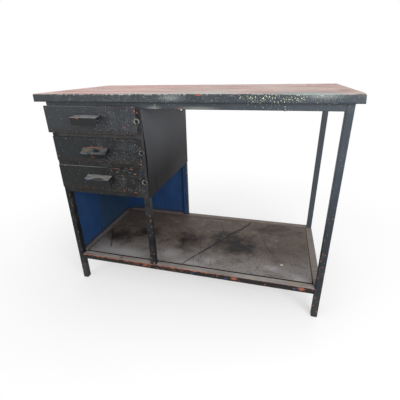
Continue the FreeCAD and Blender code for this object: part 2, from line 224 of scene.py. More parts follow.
class Finish:
    """A material in the making: its place in millimetres, the way its faces look and a fine raggedness."""

    def __init__(self, name):
        self.material = bpy.data.materials.new(name)
        self.material.use_nodes = True
        self.tree = self.material.node_tree
        self.tree.nodes.clear()
        here = add(self.tree, "ShaderNodeTexCoord")["Object"]
        self.place = add(self.tree, VECTOR, {0: here, "Scale": 1 / MM}, "SCALE")[0]
        self.flat = add(self.tree, "ShaderNodeNewGeometry")["Normal"]
        self.rag = self.mask(CLOUDS, Size=3)

    def mask(self, group, at=None, **inputs):
        """A group's mask at each place of the surface, or at another vector."""
        return add(self.tree, group, {"Place": at or self.place, **inputs})[0]

    def spots(self, places, soft=0.3, torn=1.6, rag=None):
        """The greatest of some ragged spots, each a centre and a reach."""
        greatest = 0
        for centre, reach in places:
            reach = reach if isinstance(reach, tuple) else (reach, reach, reach)
            one = self.mask(SPOT, Centre=centre, Reach=reach, Rag=rag or self.rag, Soft=soft, Torn=torn)
            greatest = add(self.tree, MATH, [greatest, one], "MAXIMUM")[0]
        return greatest

    def lay(self, ground, layers, gloss=0.16, metal=0, ior=1.5):
        """The finished material: layers over a ground, which is a colour, a roughness and a height.

        A layer shows where all its masks do. It has a colour, a roughness and perhaps a height to add.
        """
        tint, rough, height = ground
        for masks, over, over_rough, *rise in layers:
            shown = 1
            for mask in masks:
                shown = add(self.tree, MATH, [shown, mask], "MULTIPLY")[0]
            tint = add(self.tree, MIX, {0: shown, 6: tint, 7: over}, data_type="RGBA")[2]
            rough = add(self.tree, MIX, {0: shown, 2: rough, 3: over_rough})[0]
            if rise:
                height = add(self.tree, MATH, [shown, rise[0], height], "MULTIPLY_ADD")[0]
        bump = add(self.tree, "ShaderNodeBump", {"Strength": 0.6, "Distance": MM, "Height": height})[0]
        shader = add(self.tree, "ShaderNodeBsdfPrincipled", {
            "Base Color": tint, "Roughness": rough, "Metallic": metal, "IOR": ior,
            "Specular IOR Level": gloss, "Normal": bump,
        })[0]
        add(self.tree, "ShaderNodeOutputMaterial", {"Surface": shader})
        return self.material


def facing(depth, marks):
    """Spots on a face that looks to the front, from their places across and up and their reaches."""
    return [((across, depth, up), reach) for across, up, reach in marks]


def lying(level, thick, marks):
    """Spots on a level face, from their places across and back and their reaches across and back."""
    return [((across, back, level), (wide, deep, thick)) for across, back, wide, deep in marks]


# Materials

PRIMER = "#955c48"
TUBE_FACE = -247
SHELF_LEVEL = 145
TOP_LEVEL = 900
TUBE_KNOCKS = facing(TUBE_FACE, [
    (-539, 463, 3), (-535, 409, 2.4), (-535, 269, 3), (-540, 219, 2.4), (-535, 82, 3.6), (-549, 44, 3),
    (-535, 330, 1.8), (-552, 150, 1.8), (-151, 400, 3), (-149, 376, 3.6), (-147, 346, 3), (-148, 205, 3),
    (-152, 154, 4.8), (-161, 831, 4.2), (-157, 300, 1.8), (-164, 180, 2.4), (552, 379, 3.6), (557, 315, 3),
    (566, 312, 3), (552, 284, 4.2), (552, 202, 3.6), (575, 210, 4.2), (556, 101, 3.6), (563, 255, 2.4),
    (574, 150, 3), (553, 60, 3), (570, 30, 3.6), (570, 470, 2.4), (7, 848, (6.8, 4.5, 3)), (140, 852, 1.8),
]) + [((-145, 280, 250), (3.8, 3.8, 13.5)), ((-145, 270, 420), (3, 3, 7.5))]


def tube_enamel(name, low="#0e1011", high="#0e1011", inward=None):
    """Black oil enamel brushed over red-oxide primer on tube: satin, chipped, greyed by hands and dust, and
    painted lighter and bluer to the right, higher up, to the rear and on the apron as painted light.

    The brush left fine ridges along the uprights. Tubes that close the cupboard are blue on the faces
    that look inward.
    """
    coat = Finish(name)
    # Painted light: the tubes are painted lighter and bluer to the right, higher up and to the rear; where a
    # piece is given two tones, its ground is painted dark low down and lighter high up
    right = coat.mask(BAND, Way=RIGHT, From=-120, To=480)
    upper = coat.mask(BAND, Way=UP, From=200, To=850)
    rear = coat.mask(BAND, Way=BACK, From=100, To=270)
    ground = add(coat.tree, MIX, {0: upper, 6: low, 7: high}, data_type="RGBA")[2]
    # The apron under the top's overhang is painted lighter against the shade it sits in: painted light
    rail = coat.mask(BAND, Way=UP, From=838, To=850)
    dusty = coat.spots(facing(TUBE_FACE, [(-92, 850, (40, 9, 10)), (75, 850, (100, 9, 9))]), 1, 0.8)
    ridges = coat.mask(CLOUDS, Size=3, Stretch=(1, 1, 14), Most=0.1)
    film = coat.mask(CLOUDS, Size=70, From=0.42, To=0.75, Most=0.1)
    foot = coat.mask(BAND, Way=UP, From=150, To=60)
    fine = coat.mask(FLECKS, Spacing=7, Size=0.26, Cover=0.24)
    coarse = coat.mask(FLECKS, Spacing=24, Size=0.1, Cover=0.25)
    spilt = coat.spots([((345, TUBE_FACE, 870), (150, 12, 34))], 1)
    cream = coat.mask(FLECKS, Spacing=5.5, Size=0.32, Cover=spilt)
    drip = coat.spots(facing(TUBE_FACE, [(-87, 848, (3, 4, 4)), (-88, 856, (1.6, 4, 9))]))
    edges = coat.mask(EDGES, Wear=0.5, Reach=2, Patch=22)
    chips = add(coat.tree, MATH, [edges, coat.spots(TUBE_KNOCKS)], "MAXIMUM")[0]
    layers = [
        # Painted light and shade first, then dust and wear
        ([right], "#272a2e", 0.45),
        ([right, upper], "#3b424a", 0.45),
        ([right, rear], "#3f444b", 0.45),
        ([rail], "#3a4045", 0.45),
        ([rail, right], "#434950", 0.45),
        ([dusty], "#747975", 0.6),
    ]
    if inward:
        inside = coat.mask(BAND, coat.flat, Way=inward, From=0.2, To=0.5)
        above = coat.mask(BAND, Way=UP, From=144, To=148)
        layers.append(([inside, above], "#20385a", 0.42))
    return coat.lay((ground, 0.45, ridges), layers + [
        ([foot], "#2f2f2f", 0.6),
        ([film], "#6d7276", 0.62),
        ([fine], "#7c8184", 0.7, 0.12),
        ([coarse], "#8d9191", 0.7, 0.2),
        ([cream], "#c9c8aa", 0.6, 0.25),
        ([drip], "#8b908e", 0.5, 0.3),
        ([chips], PRIMER, 0.85, -0.12),
    ])


def front_enamel(name, face, low, dull, bright, specks, knocks, blues=(), rubbed=0):
    """Black enamel over primer on a folded front: satin, with pale specks to the right and a brown foot."""
    coat = Finish(name)
    right = coat.mask(BAND, Way=RIGHT, From=-480, To=-230)
    # The ground tones are given per front, darker the lower the front sits, as painted shade
    ground = add(coat.tree, MIX, {0: right, 6: dull, 7: bright}, data_type="RGBA")[2]
    waves = coat.mask(CLOUDS, Size=90, Most=1.2, Detail=1)
    film = coat.mask(CLOUDS, Size=60, From=0.4, To=0.75, Most=0.3)
    foot = coat.mask(BAND, Way=UP, From=low + 30, To=low, Most=0.65)
    gusts = coat.mask(CLOUDS, Size=110, From=0.2, To=0.6)
    blown = add(coat.tree, MATH, [right, gusts, 0.1], "MULTIPLY_ADD")[0]
    many = add(coat.tree, MATH, [blown, specks], "MULTIPLY")[0]
    some = add(coat.tree, MATH, [many, 0.18], "MULTIPLY")[0]
    fine = coat.mask(FLECKS, Spacing=4.2, Size=0.36, Cover=many)
    coarse = coat.mask(FLECKS, Spacing=13, Size=0.15, Cover=some)
    edges = coat.mask(EDGES, Wear=0.3, Reach=1.6, Patch=22)
    top = coat.mask(BAND, coat.flat, Way=UP, From=0.15, To=0.5, Most=rubbed)
    scuffed = coat.mask(BAND, Way=RIGHT, From=-290, To=-400)
    knocked = coat.spots(facing(face, knocks))
    chips = add(coat.tree, MATH, [edges, knocked], "MAXIMUM")[0]
    return coat.lay((ground, 0.45, waves), [
        ([film, right], "#4c4f52", 0.62),
        ([foot], "#2a241f", 0.6),
        ([fine], "#989da0", 0.7, 0.12),
        ([coarse], "#b4b8b9", 0.7, 0.2),
        ([top, scuffed], "#9a9c9c", 0.6),
        ([chips], PRIMER, 0.85, -0.15),
        ([coat.spots(facing(face, blues))], "#22406e", 0.45, -0.1),
    ])


def pull_enamel(name, plate, patches):
    """Thin enamel on a bent pull: hands have rubbed its upper plate and its bends through to the steel, and the
    upper plate's pale tone is also a painted reflection of the light above.
    """
    coat = Finish(name)
    ridges = coat.mask(CLOUDS, Size=4, Most=0.15)
    up = coat.mask(BAND, coat.flat, Way=UP, From=0.25, To=0.7)
    rubbed = coat.mask(CLOUDS, Size=26, From=0.2, To=0.6)
    fine = coat.mask(FLECKS, Spacing=9, Size=0.2, Cover=0.3)
    edges = coat.mask(EDGES, Wear=0.5, Patch=12)
    return coat.lay(("#1c1d1e", 0.45, ridges), [
        # Upper plate: rubbed steel and a painted reflection of the light from above
        ([up, rubbed], plate, 0.4, -0.05),
        ([fine], "#84888a", 0.7, 0.15),
        ([edges], "#77726d", 0.5, -0.1),
        *[([coat.spots(places, 0.4)], tint, 0.6, -0.05) for tint, places in patches],
    ])


def panel_enamel():
    """Black enamel rolled on the pedestal's inner panel: smooth satin with faint runs, painted grey to its top
    and rear and darker at its front as painted light and shade.
    """
    coat = Finish("rolled_black_enamel")
    # Painted light and shade: near black low down, grey high up
    high = coat.mask(BAND, Way=UP, From=530, To=840)
    ground = add(coat.tree, MIX, {0: high, 6: "#211f21", 7: "#64666b"}, data_type="RGBA")[2]
    waves = coat.mask(CLOUDS, Size=120, Most=1.4, Detail=1)
    runs = coat.mask(CLOUDS, Size=30, Stretch=(1, 1, 9), From=0.42, To=0.8, Most=0.08)
    fine = coat.mask(FLECKS, Spacing=30, Size=0.08, Cover=0.3)
    knocks = coat.spots([((-152, -220, 693), (6, 5, 9)), ((-152, -215, 560), 5)])
    # Painted shade at the front of the panel and painted light toward its rear
    front = coat.mask(BAND, Way=BACK, From=-40, To=-235, Most=0.3)
    rear = coat.mask(BAND, Way=BACK, From=-60, To=250, Most=0.1)
    return coat.lay((ground, 0.42, waves), [
        ([front], "#1a1a1b", 0.42),
        ([rear], "#8a8b8f", 0.42),
        ([runs], "#5c5e61", 0.5),
        ([fine], "#85888a", 0.7, 0.2),
        ([knocks], PRIMER, 0.85, -0.15),
    ], 0.08, ior=1.2)


def blue_enamel(name, inward, teal):
    """Blue enamel brushed on the cupboard's inside, an older blue-green coat at its rear; black outside."""
    coat = Finish(name)
    waves = coat.mask(CLOUDS, Size=110, Most=1.5, Detail=1)
    strokes = coat.mask(CLOUDS, Size=14, Stretch=(1, 1, 10), From=0.35, To=0.75, Most=0.45)
    grime = coat.mask(CLOUDS, Size=90, From=0.4, To=0.7, Most=0.45)
    foot = coat.mask(BAND, Way=UP, From=175, To=147, Most=0.7)
    older = coat.mask(BAND, Way=BACK, From=-32, To=-20, Most=teal)
    outside = coat.mask(BAND, coat.flat, Way=inward, From=0.3, To=-0.3)
    fine = coat.mask(FLECKS, Spacing=24, Size=0.11, Cover=0.35)
    return coat.lay(("#203a60", 0.42, waves), [
        ([strokes], "#294a78", 0.45, 0.05),
        ([older], "#293d50", 0.5),
        ([grime], "#1a2e4c", 0.55),
        ([foot], "#2b2a2c", 0.7),
        ([outside], "#25282a", 0.45),
        ([fine], "#6a6f78", 0.7, 0.2),
    ])


DECK_SEAM = {"Centre": (9, 23.25, 0), "Half": (535.75, 238.75, 0), "Width": 4.5}


def shelf_rail_enamel():
    """Black enamel on the shelf's angles: grey steel on the front one's top, brown with dirt on the others.

    Its front face is chipped to primer along the upper edge.
    """
    coat = Finish("worn_black_enamel_on_angle")
    ridges = coat.mask(CLOUDS, Size=5, Most=0.25)
    up = coat.mask(BAND, coat.flat, Way=UP, From=0.4, To=0.8)
    front = coat.mask(BAND, coat.flat, Way=BACK, From=-0.3, To=-0.7)
    ahead = coat.mask(BAND, Way=BACK, From=-190, To=-214)
    worn = coat.mask(CLOUDS, Size=45, Stretch=(3, 1, 1), From=0.3, To=0.7)
    dirt = coat.mask(CLOUDS, Size=12, Stretch=(5, 1, 1), From=0.45, To=0.7, Most=0.4)
    seam = coat.mask(SEAM, **DECK_SEAM)
    stain = coat.spots(lying(SHELF_LEVEL, 8, [(478, -215, 60, 22)]), 0.8)
    rust = coat.spots(lying(SHELF_LEVEL, 6, [(-330, -232, 16, 7), (-544, 246, 24, 30)]), 0.8)
    # Bare primer hangs from the top edge, by up to 3 mm to the right and 11 mm to the left, finely torn
    most = coat.mask(BAND, Way=RIGHT, From=260, To=60, Most=8)
    deep = add(coat.tree, MATH, [most, 3])[0]
    level = add(coat.tree, VECTOR, [coat.place, RIGHT], "MULTIPLY")[0]
    torn = coat.mask(CLOUDS, level, Size=26, From=0.3, To=0.75, Most=deep, Detail=6)
    ragged = add(coat.tree, MATH, [coat.rag, 5, -2.5], "MULTIPLY_ADD")[0]
    drop = add(coat.tree, MATH, [torn, ragged])[0]
    rim = add(coat.tree, MATH, [SHELF_LEVEL, drop], "SUBTRACT")[0]
    full = add(coat.tree, MATH, [rim, 1])[0]
    fringe = coat.mask(BAND, Way=UP, From=rim, To=full)
    knocked = coat.spots(facing(TUBE_FACE, [(-230, 132, (120, 8, 17)), (-60, 132, (90, 8, 9))]), 0.8)
    often = add(coat.tree, MATH, [knocked, 0.72, 0.1], "MULTIPLY_ADD")[0]
    nicks = coat.mask(FLECKS, Spacing=9, Size=0.48, Cover=often)
    patches = coat.spots(facing(TUBE_FACE, [
        (218, 135, (15, 6, 8)), (499, 135, (16, 6, 8)), (-200, 134, (14, 6, 4)),
    ]), 0.3, 2.4)
    blue = coat.spots(facing(TUBE_FACE, [
        (183, 130, (7, 6, 5)), (478, 132, (6, 6, 6)), (29, 127.5, (6, 6, 4)),
    ]))
    edges = coat.mask(EDGES, Wear=0.45, Reach=3, Patch=16)
    return coat.lay(("#1f1e1f", 0.5, ridges), [
        ([up], "#7b736e", 0.55, -0.1),
        ([up, ahead], "#857f7b", 0.5),
        ([up, ahead, worn], "#a29b97", 0.45, -0.05),
        ([up, dirt], "#4c4642", 0.6),
        ([up, stain], "#958c76", 0.6, 0.05),
        ([up, rust], "#63493a", 0.8, 0.1),
        ([up, seam], "#6f6862", 0.85),
        ([up, seam, ahead], "#1b191a", 0.85),
        ([front, fringe], PRIMER, 0.85, -0.2),
        ([front, nicks], PRIMER, 0.85, -0.2),
        ([front, patches], PRIMER, 0.85, -0.2),
        ([front, blue], "#233f6b", 0.45, -0.1),
        ([front, edges], "#9a6853", 0.8, -0.1),
    ])


DECK_BLOTCHES = lying(SHELF_LEVEL, 20, [
    (165, 50, 150, 85), (225, -20, 140, 70), (95, 50, 60, 60), (-50, 0, 70, 85),
])
DECK_HAZE = lying(SHELF_LEVEL, 30, [
    (190, -5, 250, 150), (-50, -5, 100, 130), (370, 190, 150, 90), (-425, -45, 130, 100), (-310, 20, 110, 75),
])
DECK_WORN = lying(SHELF_LEVEL, 20, [
    (-320, -185, 240, 50), (-112, -150, 75, 60), (89, -165, 42, 42), (0, -195, 130, 26), (372, -150, 50, 30),
    (495, -195, 60, 36),
])
DECK_RUST = lying(SHELF_LEVEL, 10, [(-524, 246, 34, 26), (-470, 255, 60, 12), (60, 255, 160, 14)])
# How dark each drag line is, and its points: across, back and the width from there on
DECK_LINES = [
    (1.0, [(-29, -208, 5), (2, -156, 7), (36, -97, 9), (86, -14, 14), (131, 57, 17), (158, 109, 15),
           (199, 168, 12), (231, 220, 9), (244, 266, 8)]),
    (0.55, [(73, 225, 4), (95, 150, 4), (116, 100, 4), (146, 38, 4)]),
    (0.5, [(-208, 159, 4), (-155, 146, 4), (-102, 106, 4), (-50, 62, 4)]),
    (0.45, [(35, 237, 4), (5, 176, 4), (0, 116, 4), (1, 61, 4)]),
    (0.5, [(42, 113, 4), (78, 50, 4)]),
    (0.35, [(9, 6, 3), (25, -99, 3), (51, -210, 3)]),
    (0.6, [(-123, -24, 5), (-77, -41, 5)]),
    (0.5, [(-108, -75, 4), (-71, -52, 4)]),
    (0.4, [(92, -144, 4), (102, -190, 4)]),
    (0.55, [(325, 71, 5), (366, -34, 5)]),
    (0.35, [(352, -168, 4), (406, -92, 4)]),
    (0.55, [(-245, -7, 4), (-198, 6, 4)]),
    (0.6, [(-203, -90, 5), (-192, -40, 5)]),
    (0.4, [(-193, -84, 3), (-110, -62, 3)]),
    (0.8, [(-517, 14, 6), (-430, -160, 6)]),
    (0.6, [(-450, 51, 5), (-410, 70, 5), (-367, 61, 4)]),
    (0.7, [(-395, -51, 5), (-355, 8, 6), (-312, 25, 6)]),
    (0.7, [(-371, -62, 5), (-353, -26, 5), (-304, -30, 6), (-280, -25, 5)]),
    (0.5, [(-492, 50, 5), (-468, 64, 5)]),
    (0.5, [(-363, 50, 5), (-324, 42, 5)]),
    (0.4, [(-9, 39, 4), (46, -148, 4)]),
    (0.5, [(255, -65, 5), (270, -111, 5)]),
    (0.5, [(175, -22, 6), (266, 17, 6)]),
]


def deck_steel():
    """Painted steel deck trodden to oily metal: brown and grey clouds, black drag lines, pale at its front."""
    coat = Finish("trodden_deck_steel")
    ahead = coat.mask(BAND, Way=BACK, From=10, To=-190)
    ground = add(coat.tree, MIX, {0: ahead, 6: "#5f544d", 7: "#8a8584"}, data_type="RGBA")[2]
    waves = coat.mask(CLOUDS, Size=130, Most=1.6)
    pale = coat.mask(CLOUDS, Size=55, From=0.48, To=0.72, Most=0.4)
    brown = coat.mask(CLOUDS, Size=75, Stretch=(1.6, 1, 1), From=0.5, To=0.7, Most=0.5)
    mottle = coat.mask(CLOUDS, Size=11, From=0.42, To=0.7, Most=0.4)
    drift = coat.mask(CLOUDS, Size=70, From=0.2, To=0.8)
    worn = coat.spots(DECK_WORN, 0.95, 0.8)
    haze = coat.spots(DECK_HAZE, 1, 0.9, drift)
    dark = coat.spots(DECK_BLOTCHES, 1, 0.9, drift)
    ragged = coat.mask(CLOUDS, Size=30, Stretch=(1.5, 1, 1), From=0.3, To=0.58, Detail=6)
    uneven = coat.mask(CLOUDS, Size=60, From=0.15, To=0.5)
    bend = add(coat.tree, NOISE, {"Vector": coat.place, "Scale": 1 / 45, "Detail": 2})["Color"]
    middle = add(coat.tree, VECTOR, [bend, (0.5, 0.5, 0.5)], "SUBTRACT")[0]
    shift = add(coat.tree, VECTOR, {0: middle, "Scale": 14}, "SCALE")[0]
    bent = add(coat.tree, VECTOR, [coat.place, shift])[0]
    level = add(coat.tree, VECTOR, [bent, (1, 1, 0)], "MULTIPLY")[0]
    drawn = 0
    for most, points in DECK_LINES:
        for (*begin, width), (*end, _) in zip(points, points[1:]):
            line = coat.mask(STROKE, level, Start=(*begin, 0), End=(*end, 0), Width=width, Most=most)
            drawn = add(coat.tree, MATH, [drawn, line], "MAXIMUM")[0]
    breaks = coat.mask(CLOUDS, Size=20, From=0.2, To=0.45)
    marks = coat.mask(MARKS, Spacing=70, Width=0.014, Share=0.48)
    scratches = coat.mask(MARKS, bent, Spacing=38, Width=0.012, Share=0.45)
    rust = coat.spots(DECK_RUST, 0.9)
    seam = coat.mask(SEAM, **DECK_SEAM)
    rim = coat.mask(BAND, Way=BACK, From=-200, To=-209)
    bits = coat.mask(FLECKS, Spacing=46, Size=0.09, Cover=0.2)
    spilt = coat.spots([((418, -115, SHELF_LEVEL), 7)])
    return coat.lay((ground, 0.48, waves), [
        ([brown], "#483c35", 0.6),
        ([pale], "#858079", 0.42),
        ([mottle], "#4a4440", 0.6, 0.05),
        ([worn], "#9a9797", 0.4, -0.05),
        ([scratches], "#8f8a86", 0.4, -0.05),
        ([haze, uneven], "#352d29", 0.5),
        ([dark, ragged], "#1b1a1c", 0.5),
        ([marks], "#38322f", 0.55),
        ([drawn, breaks], "#151517", 0.5),
        ([rust], "#57463b", 0.8, 0.1),
        ([seam], "#6f6862", 0.85),
        ([seam, rim], "#1b191a", 0.85),
        ([bits], "#2c2928", 0.6, 0.3),
        ([spilt], "#d8cdb0", 0.6, 0.4),
    ], 0.15)


def packed_grime():
    """Oily dirt packed in the seam round the deck: near black, matt and lumpy."""
    coat = Finish("packed_seam_grime")
    lumps = coat.mask(CLOUDS, Size=6, Most=0.6)
    dry = coat.mask(CLOUDS, Size=25, From=0.45, To=0.7, Most=0.6)
    return coat.lay(("#110f0f", 0.85, lumps), [([dry], "#1c1918", 0.9)], 0.1)


def skin_paint():
    """Faded red-oxide paint on the steel top, scoured along the desk; brushed black on its rubbed, folded edge.

    Seen almost along itself the top turns pale with the light it sends back; its front edge and right lip carry
    painted highlights.
    """
    coat = Finish("faded_oxide_on_skin")
    left = coat.mask(BAND, Way=RIGHT, From=150, To=-420)
    ground = add(coat.tree, MIX, {0: left, 6: "#b39a92", 7: "#cda39b"}, data_type="RGBA")[2]
    waves = coat.mask(CLOUDS, Size=160, Most=1, Detail=1)
    streaks = coat.mask(CLOUDS, Size=16, Stretch=(12, 1, 1), From=0.4, To=0.68, Most=0.75)
    redder = coat.mask(CLOUDS, Size=40, Stretch=(5, 1, 1), From=0.42, To=0.66, Most=0.75)
    greyed = coat.mask(CLOUDS, Size=60, Stretch=(3, 1, 1), From=0.48, To=0.7, Most=0.6)
    rear = coat.mask(BAND, Way=BACK, From=180, To=300, Most=0.5)
    scours = coat.mask(MARKS, Spacing=60, Width=0.02, Share=0.5)
    bare = coat.spots(lying(TOP_LEVEL, 20, [(100, -245, 190, 150), (-150, -258, 270, 24)]), 1, 1.2)
    # A pale band over the rounded lip at the right: a painted highlight on worn paint
    lip = coat.spots([((450, -256, 899), (140, 38, 6))], 1)
    dulled = coat.spots(lying(TOP_LEVEL, 20, [(400, -245, 230, 100)]), 1, 1.2)
    stains = coat.spots(lying(TOP_LEVEL, 20, [
        (285, -195, 55, 26), (470, 210, 14, 34), (380, 235, 40, 26), (560, -120, 30, 60),
    ]), 0.8)
    corner = coat.spots([((590, -262, 899), (40, 18, 12))], 0.8)
    # A broken pale line along the top of the front edge: a painted highlight
    rim = coat.spots(facing(-261, [(-200, 899, (520, 5, 5)), (340, 899, (150, 5, 3))]), 0.5)
    broken = coat.mask(CLOUDS, Size=9, From=0.48, To=0.58)
    side = coat.mask(CLOUDS, Size=12, Most=0.5)
    steep = add(coat.tree, VECTOR, [coat.flat, UP], "DOT_PRODUCT")["Value"]
    torn = add(coat.tree, MATH, [steep, side])[0]
    black = add(coat.tree, RANGE, [torn, 0.95, 0.82])[0]
    # The enamel on the folded edge is painted lighter and bluer to the right: painted light
    right = coat.mask(BAND, Way=RIGHT, From=-250, To=560)
    enamel = add(coat.tree, MIX, {0: right, 6: "#3b3e41", 7: "#3d444a"}, data_type="RGBA")[2]
    film = coat.mask(CLOUDS, Size=60, From=0.42, To=0.75, Most=0.3)
    gusts = coat.mask(CLOUDS, Size=90, From=0.2, To=0.6, Most=0.8)
    along = coat.mask(BAND, Way=RIGHT, From=-560, To=-300)
    many = add(coat.tree, MATH, [gusts, along], "MULTIPLY")[0]
    some = add(coat.tree, MATH, [many, 0.5], "MULTIPLY")[0]
    fine = coat.mask(FLECKS, Spacing=5, Size=0.28, Cover=many)
    coarse = coat.mask(FLECKS, Spacing=14, Size=0.18, Cover=some)
    edge = -262
    mint = coat.spots(facing(edge, [(-22, 886, (52, 12, 15)), (480, 892, (80, 12, 12))]), 0.9)
    spilt = coat.spots(facing(edge, [(345, 892, (140, 14, 32)), (268, 886, (32, 14, 24))]), 0.6)
    cream = coat.mask(FLECKS, Spacing=4.5, Size=0.4, Cover=spilt)
    drops = coat.spots(facing(edge, [(474, 894, (7, 4, 2.5)), (500, 890, 1.8)]))
    edges = coat.mask(EDGES, Wear=0.5, Reach=4, Patch=30)
    scarce = coat.mask(CLOUDS, Size=50, From=0.45, To=0.6)
    knocks = coat.spots(facing(edge, [
        (80, 896, (12, 6, 4)), (-300, 898, (5, 4, 2)), (-372, 899, 2.5), (-262, 899, 2.5),
    ]))
    return coat.lay((ground, 0.5, waves), [
        ([streaks], "#d6c2bb", 0.5),
        ([redder], "#9a655b", 0.5),
        ([greyed], "#948e89", 0.5),
        ([rear, left], "#a5655b", 0.5),
        ([scours], "#7d6660", 0.6, -0.05),
        ([bare], "#aaa8a2", 0.42, -0.05),
        ([dulled], "#7f8384", 0.5),
        ([stains], "#967a6b", 0.55),
        ([black], enamel, 0.45),
        ([black, film], "#666c70", 0.62),
        ([black, mint], "#767e7c", 0.5, 0.1),
        ([black, fine], "#9aa0a0", 0.7, 0.12),
        ([black, coarse], "#b6bcba", 0.7, 0.2),
        ([cream, black], "#d3d2b2", 0.6, 0.25),
        ([drops, black], "#a0a8ab", 0.6, 0.25),
        ([edges, scarce], "#7f8786", 0.5, -0.1),
        # Painted highlights on the front edge and the lip
        ([rim, broken], "#a2a8a6", 0.5),
        ([lip], "#98a29f", 0.5),
        ([corner], "#57595b", 0.5),
        ([knocks], PRIMER, 0.85, -0.1),
    ])


def ring_steel():
    """Bent steel rod ring, rubbed bright where it swings a lock, with old black paint in its hollows and
    painted shade on the lower right of each ring.
    """
    coat = Finish("rubbed_ring_steel")
    paint = coat.mask(CLOUDS, Size=9, From=0.4, To=0.56, Most=0.9)
    scuffs = coat.mask(CLOUDS, Size=2.5, Most=0.2)
    # Painted shade: dark over the lower right of each ring, which leaves its upper left bright as metal
    lower = coat.spots([((-149, -256, 673), 11), ((-149, -256, 549.5), 10), ((-150, -272, 794), 8)], 0.5)
    paint_and_painted_shade = add(coat.tree, MATH, [paint, lower], "MAXIMUM")[0]
    bright = add(coat.tree, MATH, [1, paint_and_painted_shade], "SUBTRACT")[0]
    return coat.lay(("#827f7b", 0.45, scuffs), [([paint_and_painted_shade], "#242424", 0.5, 0.1)], 0.5, bright)


def tray_enamel():
    """Thin sprayed enamel in the drawers: satin charcoal, dusty on the floor, scratched by what slid about."""
    coat = Finish("sprayed_charcoal_enamel")
    grain = coat.mask(CLOUDS, Size=2, Most=0.06)
    up = coat.mask(BAND, coat.flat, Way=UP, From=0.4, To=0.8)
    dust = coat.mask(CLOUDS, Size=80, From=0.35, To=0.7, Most=0.5)
    scratches = coat.mask(MARKS, Spacing=55, Width=0.012, Share=0.55)
    edges = coat.mask(EDGES, Wear=0.4, Reach=1.5)
    return coat.lay(("#2e3133", 0.48, grain), [
        ([up, dust], "#68665f", 0.75),
        ([up, scratches], "#8a8781", 0.45, -0.05),
        ([edges], "#7c7872", 0.5, -0.05),
    ])


def galvanised_sheet():
    """Hot-dip galvanised sheet: crystals about 12 mm across, each its own grey, worn bright by the drawers."""
    coat = Finish("galvanised_sheet")
    crystal = coat.mask(GRAINS, Size=12)
    zinc = add(coat.tree, MIX, {0: crystal, 6: "#8d9193", 7: "#adb0b1"}, data_type="RGBA")[2]
    rough = add(coat.tree, RANGE, [crystal, 0, 1, 0.35, 0.55])[0]
    up = coat.mask(BAND, coat.flat, Way=UP, From=0.4, To=0.8)
    slid = coat.mask(CLOUDS, Size=4, Stretch=(1, 30, 1), From=0.4, To=0.6)
    return coat.lay((zinc, rough, 0), [([up, slid], "#c3c4c2", 0.28, -0.05)], 0.5, 1)


def zinc_plate():
    """Zinc-plated screw: bright grey with a faint yellow cast, dulled in patches."""
    coat = Finish("zinc_plated_screw")
    dull = coat.mask(CLOUDS, Size=4, From=0.4, To=0.65)
    return coat.lay(("#bdbbb0", 0.3, 0), [([dull], "#9a978c", 0.5, 0.02)], 0.5, 1)


def chipboard():
    """Pressed chipboard: flakes of pale and dark wood a few millimetres long, matt."""
    coat = Finish("chipboard")
    flake = coat.mask(GRAINS, Size=4, Stretch=(2.2, 1.2, 0.6))
    wood = add(coat.tree, MIX, {0: flake, 6: "#8a6d48", 7: "#c2a678"}, data_type="RGBA")[2]
    damp = coat.mask(CLOUDS, Size=120, From=0.5, To=0.75, Most=0.5)
    return coat.lay((wood, 0.85, flake), [([damp], "#6d5638", 0.85)], 0.2)


TUBE = tube_enamel("brushed_black_enamel")
SKIN = skin_paint()
BOARD = chipboard()
PANEL = panel_enamel()
